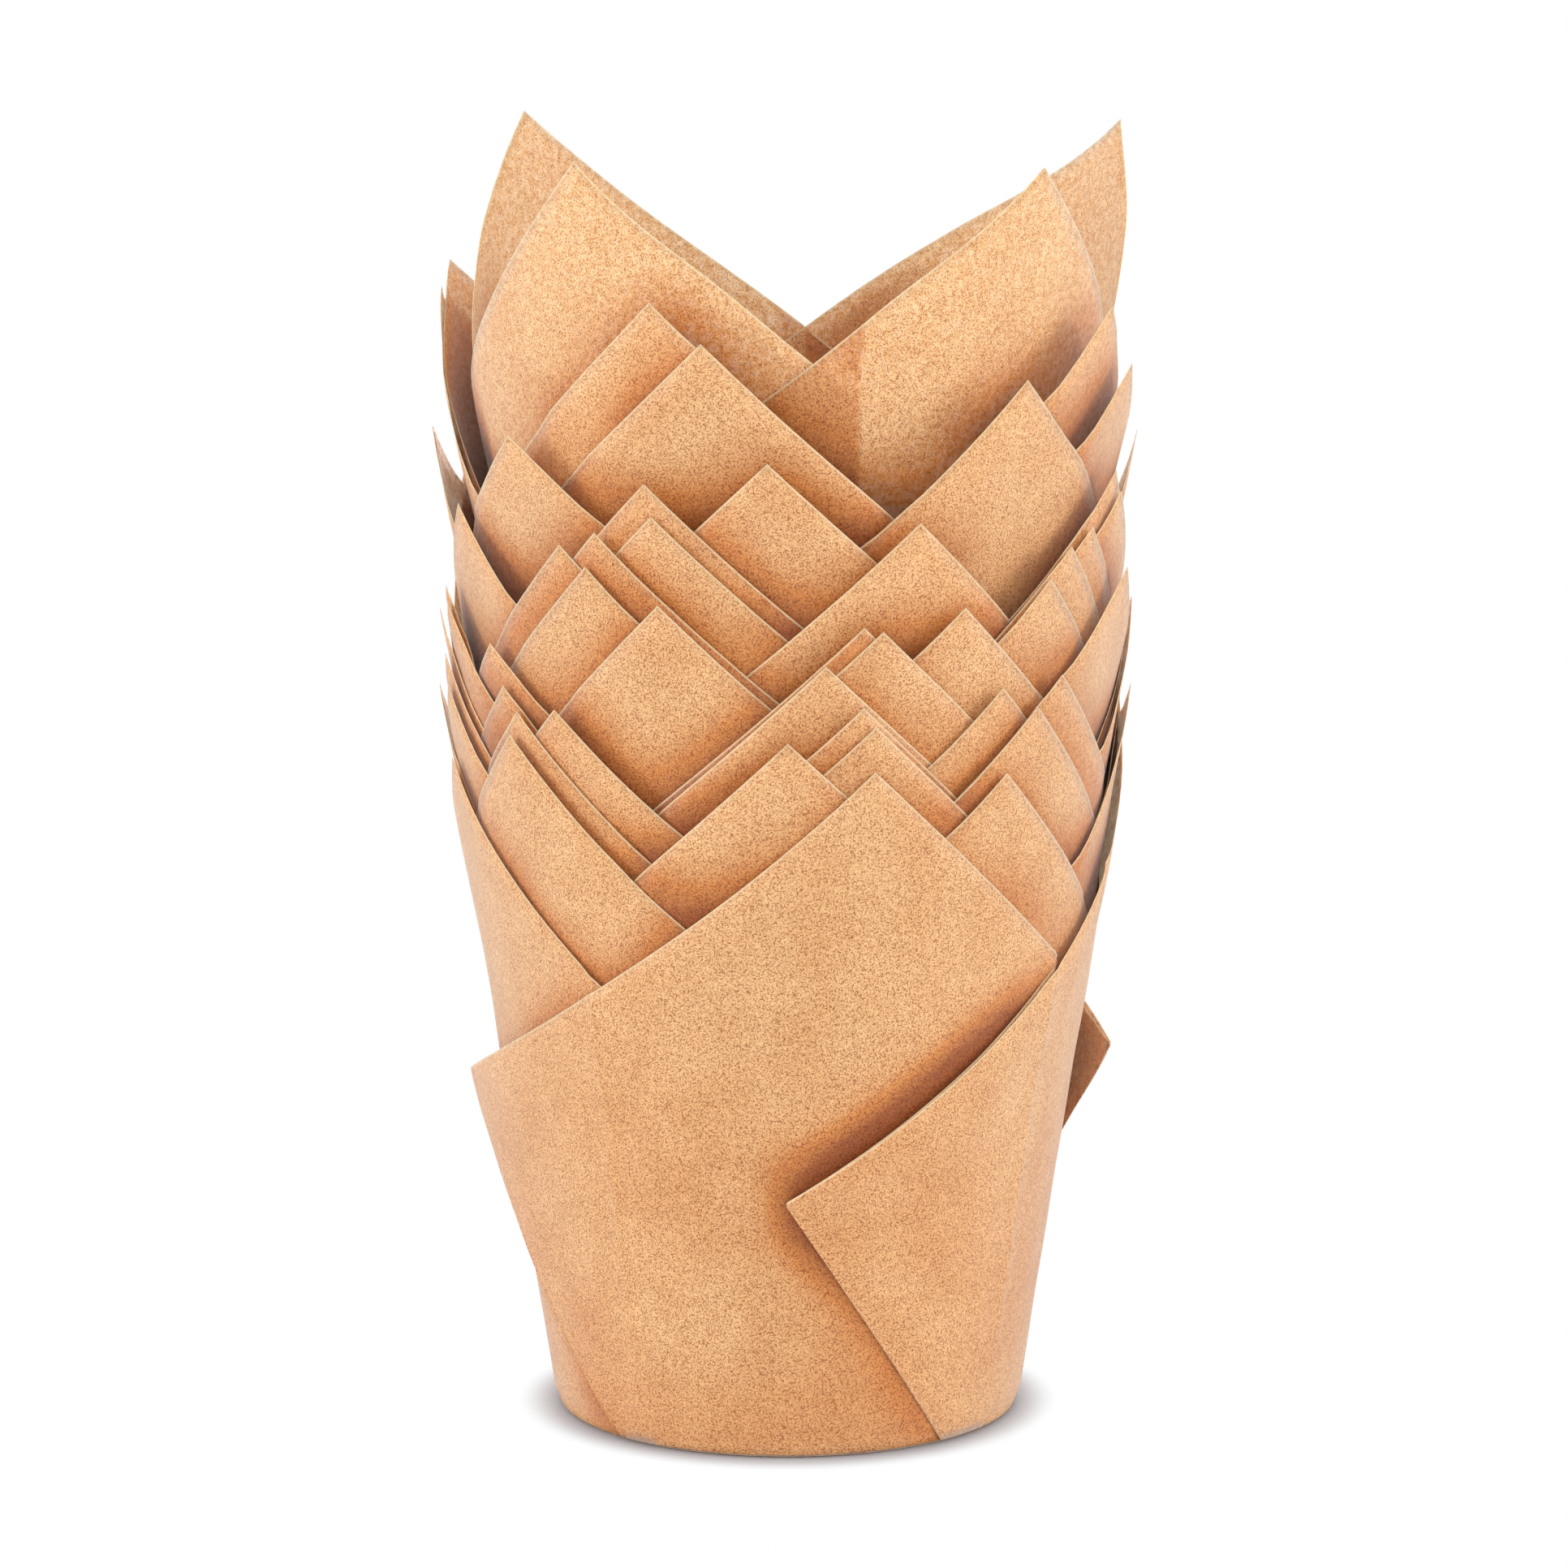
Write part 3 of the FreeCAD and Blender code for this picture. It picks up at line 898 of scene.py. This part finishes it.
def kraft_paper():
    """Unbleached baking paper: fine brown grain, cloudy fibres, a little light through it, painted
    shade, and painted highlights along the cut edges.
    """
    material = bpy.data.materials.new("kraft_paper")
    material.use_nodes = True
    tree = material.node_tree
    tree.nodes.clear()
    place = node(tree, "ShaderNodeTexCoord")
    grain_value, grain = noise_ramp(tree, place, GRAIN_FIELD, GRAIN_DARK, GRAIN_LIGHT)
    _, fleck = noise_ramp(tree, place, FLECK_FIELD, FLECK, WHITE)
    _, cloud = noise_ramp(tree, place, CLOUD_FIELD, CLOUD, WHITE)
    colour = multiplied(tree, multiplied(tree, grain, cloud), fleck)
    # Painted shade from the mesh, then the painted highlight along the cut edges
    colour = edge_highlighted(tree, shaded(tree, colour))
    _, fibre = noise_ramp(tree, place, FIBRE_FIELD, THROUGH_DARK, THROUGH_LIGHT)
    through = node(tree, "ShaderNodeBsdfTranslucent")
    tree.links.new(fibre, through.inputs["Color"])
    both = node(tree, "ShaderNodeMixShader")
    both.inputs["Fac"].default_value = THROUGH_SHARE
    tree.links.new(paper_surface(tree, colour, grain_value), both.inputs[1])
    tree.links.new(through.outputs["BSDF"], both.inputs[2])
    out = node(tree, "ShaderNodeOutputMaterial")
    tree.links.new(both.outputs["Shader"], out.inputs["Surface"])
    return material


# The liners

# How near to the lowest point of a solid its underside counts as level
LEVEL_WITHIN = 0.01


def base_middle(name):
    """Middle of a solid's underside, in millimetres."""
    points = np.array([v.co[:] for v in frame["nodes"][name].data.vertices]) / MM
    lowest = points[:, 2].min()
    ring = points[points[:, 2] < lowest + LEVEL_WITHIN]
    middle = (ring[:, :2].min(axis=0) + ring[:, :2].max(axis=0)) / 2.0
    return (float(middle[0]), float(middle[1]), float(lowest))


def rows_for(number):
    """Rows are even on the outer and the top liner, and few where a wall is hidden."""
    even = [k / FINE_ROWS for k in range(FINE_ROWS + 1)]
    if number in (0, len(STACK) - 1):
        return even
    hidden = [HIDDEN_PART * k / HIDDEN_ROWS for k in range(HIDDEN_ROWS)]
    return hidden + [share for share in even if share >= HIDDEN_PART]


def build_liners():
    """The liners from the innermost to the outermost, as each lies on those inside it."""
    paper = kraft_paper()
    names = ["liner_%02d" % (number + 1) for number in range(len(STACK))]
    spots = [base_middle(name) for name in names]
    room = Room()
    cover = Cover(spots)
    for number in reversed(range(len(STACK))):
        name = names[number]
        sheet = Sheet(number, spots[number], room, cover)
        sheet.build(rows_for(number))
        room.settle()
        piece = bpy.data.objects.new("paper_" + name, sheet.mesh("paper_" + name))
        bpy.context.scene.collection.objects.link(piece)
        piece.data.materials.append(paper)
        for polygon in piece.data.polygons:
            polygon.use_smooth = True
        thick = piece.modifiers.new("thickness", "SOLIDIFY")
        thick.thickness = PAPER * MM
        thick.offset = 0.0
        thick.use_even_offset = False
        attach(piece, "root")
        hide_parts(name)


# Camera, light and floor, in metres

# The long lens, in millimetres, and the pitch in degrees at which it looks down on the stack
LENS = 152.6
SENSOR = 36.0
CAMERA_PITCH = 10.23
CAMERA_PLACE = (-0.0004, -0.700, 0.194)
NEAREST_SEEN = 0.05

# Lamps: each one's place, the height on the stack's axis that it aims at, its size and power
SIDE_POWER = 4.4
Lamp = namedtuple("Lamp", "name place aim_height size power")
LAMPS = (
    Lamp("left", (-1.05, -0.20, 0.25), 0.07, 0.5, SIDE_POWER),
    Lamp("right", (1.05, -0.20, 0.25), 0.07, 0.5, SIDE_POWER),
    Lamp("front", (0.0, -1.2, 0.35), 0.07, 0.8, 4.0),
    Lamp("back", (0.0, 1.1, 0.15), 0.10, 0.6, 8.0),
)
SURROUND_LIGHT = 1.0

# The floor: its half side, its colour for the light, its darker colour for the eye that paints the
# shadow near the stack deeper, and the distances from the stack's axis over which that shadow fades to
# white
FLOOR_HALF = 3.0
FLOOR_WHITE = (0.85, 0.85, 0.85, 1.0)
FLOOR_SHADE = (0.48, 0.49, 0.52, 1.0)
SHADOW_NEAR = 0.0245
SHADOW_FAR = 0.0295


def camera():
    """The photograph's view: from the front, a little above, with a long lens."""
    data = bpy.data.cameras.new("camera")
    data.lens = LENS
    data.sensor_width = SENSOR
    data.clip_start = NEAREST_SEEN
    seen = bpy.data.objects.new("camera", data)
    seen.location = CAMERA_PLACE
    seen.rotation_euler = (math.radians(90.0 - CAMERA_PITCH), 0.0, 0.0)
    bpy.context.scene.collection.objects.link(seen)
    bpy.context.scene.camera = seen


def area_lamp(lamp):
    data = bpy.data.lights.new(lamp.name, "AREA")
    data.shape = "DISK"
    data.size = lamp.size
    data.energy = lamp.power
    made = bpy.data.objects.new(lamp.name, data)
    made.location = lamp.place
    to_aim = Vector((0.0, 0.0, lamp.aim_height)) - Vector(lamp.place)
    made.rotation_euler = to_aim.to_track_quat("-Z", "Y").to_euler()
    bpy.context.scene.collection.objects.link(made)


def seen_ray(tree):
    """1 for rays that show the background: camera, mirror and clear rays."""
    path = node(tree, "ShaderNodeLightPath")
    first = node(tree, "ShaderNodeMath", operation="MAXIMUM")
    second = node(tree, "ShaderNodeMath", operation="MAXIMUM")
    tree.links.new(path.outputs["Is Camera Ray"], first.inputs[0])
    tree.links.new(path.outputs["Is Glossy Ray"], first.inputs[1])
    tree.links.new(first.outputs[0], second.inputs[0])
    tree.links.new(path.outputs["Is Transmission Ray"], second.inputs[1])
    return second.outputs[0]


def world():
    """Even white surroundings."""
    made = bpy.data.worlds.new("studio")
    bpy.context.scene.world = made
    made.use_nodes = True
    tree = made.node_tree
    tree.nodes.clear()
    light = node(tree, "ShaderNodeBackground")
    light.inputs["Color"].default_value = WHITE
    light.inputs["Strength"].default_value = SURROUND_LIGHT
    shown = node(tree, "ShaderNodeBackground")
    shown.inputs["Color"].default_value = WHITE
    mix = node(tree, "ShaderNodeMixShader")
    out = node(tree, "ShaderNodeOutputWorld")
    tree.links.new(seen_ray(tree), mix.inputs["Fac"])
    tree.links.new(light.outputs[0], mix.inputs[1])
    tree.links.new(shown.outputs[0], mix.inputs[2])
    tree.links.new(mix.outputs[0], out.inputs["Surface"])


def white_share(tree):
    """How much of the floor is shown plain white: all of it, but for the shadow near the stack, real
    shade on a floor painted darker there.
    """
    place = node(tree, "ShaderNodeTexCoord")
    distance = node(tree, "ShaderNodeVectorMath", operation="LENGTH")
    tree.links.new(place.outputs["Object"], distance.inputs[0])
    fade = node(tree, "ShaderNodeMapRange", interpolation_type="SMOOTHSTEP")
    fade.inputs["From Min"].default_value = SHADOW_NEAR
    fade.inputs["From Max"].default_value = SHADOW_FAR
    tree.links.new(distance.outputs["Value"], fade.inputs["Value"])
    shown = node(tree, "ShaderNodeMath", operation="MULTIPLY")
    tree.links.new(fade.outputs["Result"], shown.inputs[0])
    tree.links.new(seen_ray(tree), shown.inputs[1])
    return shown.outputs[0]


def floor_material():
    """A matt floor that takes the real soft shadow close to the stack, painted deeper there by a darker
    colour for the eye.
    """
    material = bpy.data.materials.new("floor")
    material.use_nodes = True
    tree = material.node_tree
    tree.nodes.clear()
    matt = node(tree, "ShaderNodeBsdfDiffuse")
    colour = node(tree, "ShaderNodeMix", data_type="RGBA")
    colour.inputs["A"].default_value = FLOOR_WHITE
    colour.inputs["B"].default_value = FLOOR_SHADE
    tree.links.new(seen_ray(tree), colour.inputs["Factor"])
    tree.links.new(colour.outputs["Result"], matt.inputs["Color"])
    glow = node(tree, "ShaderNodeEmission")
    glow.inputs["Color"].default_value = WHITE
    both = node(tree, "ShaderNodeMixShader")
    out = node(tree, "ShaderNodeOutputMaterial")
    tree.links.new(white_share(tree), both.inputs["Fac"])
    tree.links.new(matt.outputs[0], both.inputs[1])
    tree.links.new(glow.outputs[0], both.inputs[2])
    tree.links.new(both.outputs[0], out.inputs["Surface"])
    return material


def floor():
    """A plain white floor."""
    far = FLOOR_HALF
    corners = [(-far, -far, 0.0), (far, -far, 0.0), (far, far, 0.0), (-far, far, 0.0)]
    mesh = bpy.data.meshes.new("floor")
    mesh.from_pydata(corners, [], [(0, 1, 2, 3)])
    mesh.materials.append(floor_material())
    plane = bpy.data.objects.new("floor", mesh)
    bpy.context.scene.collection.objects.link(plane)


bpy.context.scene.view_settings.view_transform = "Standard"
build_liners()
camera()
world()
floor()
for lamp in LAMPS:
    area_lamp(lamp)
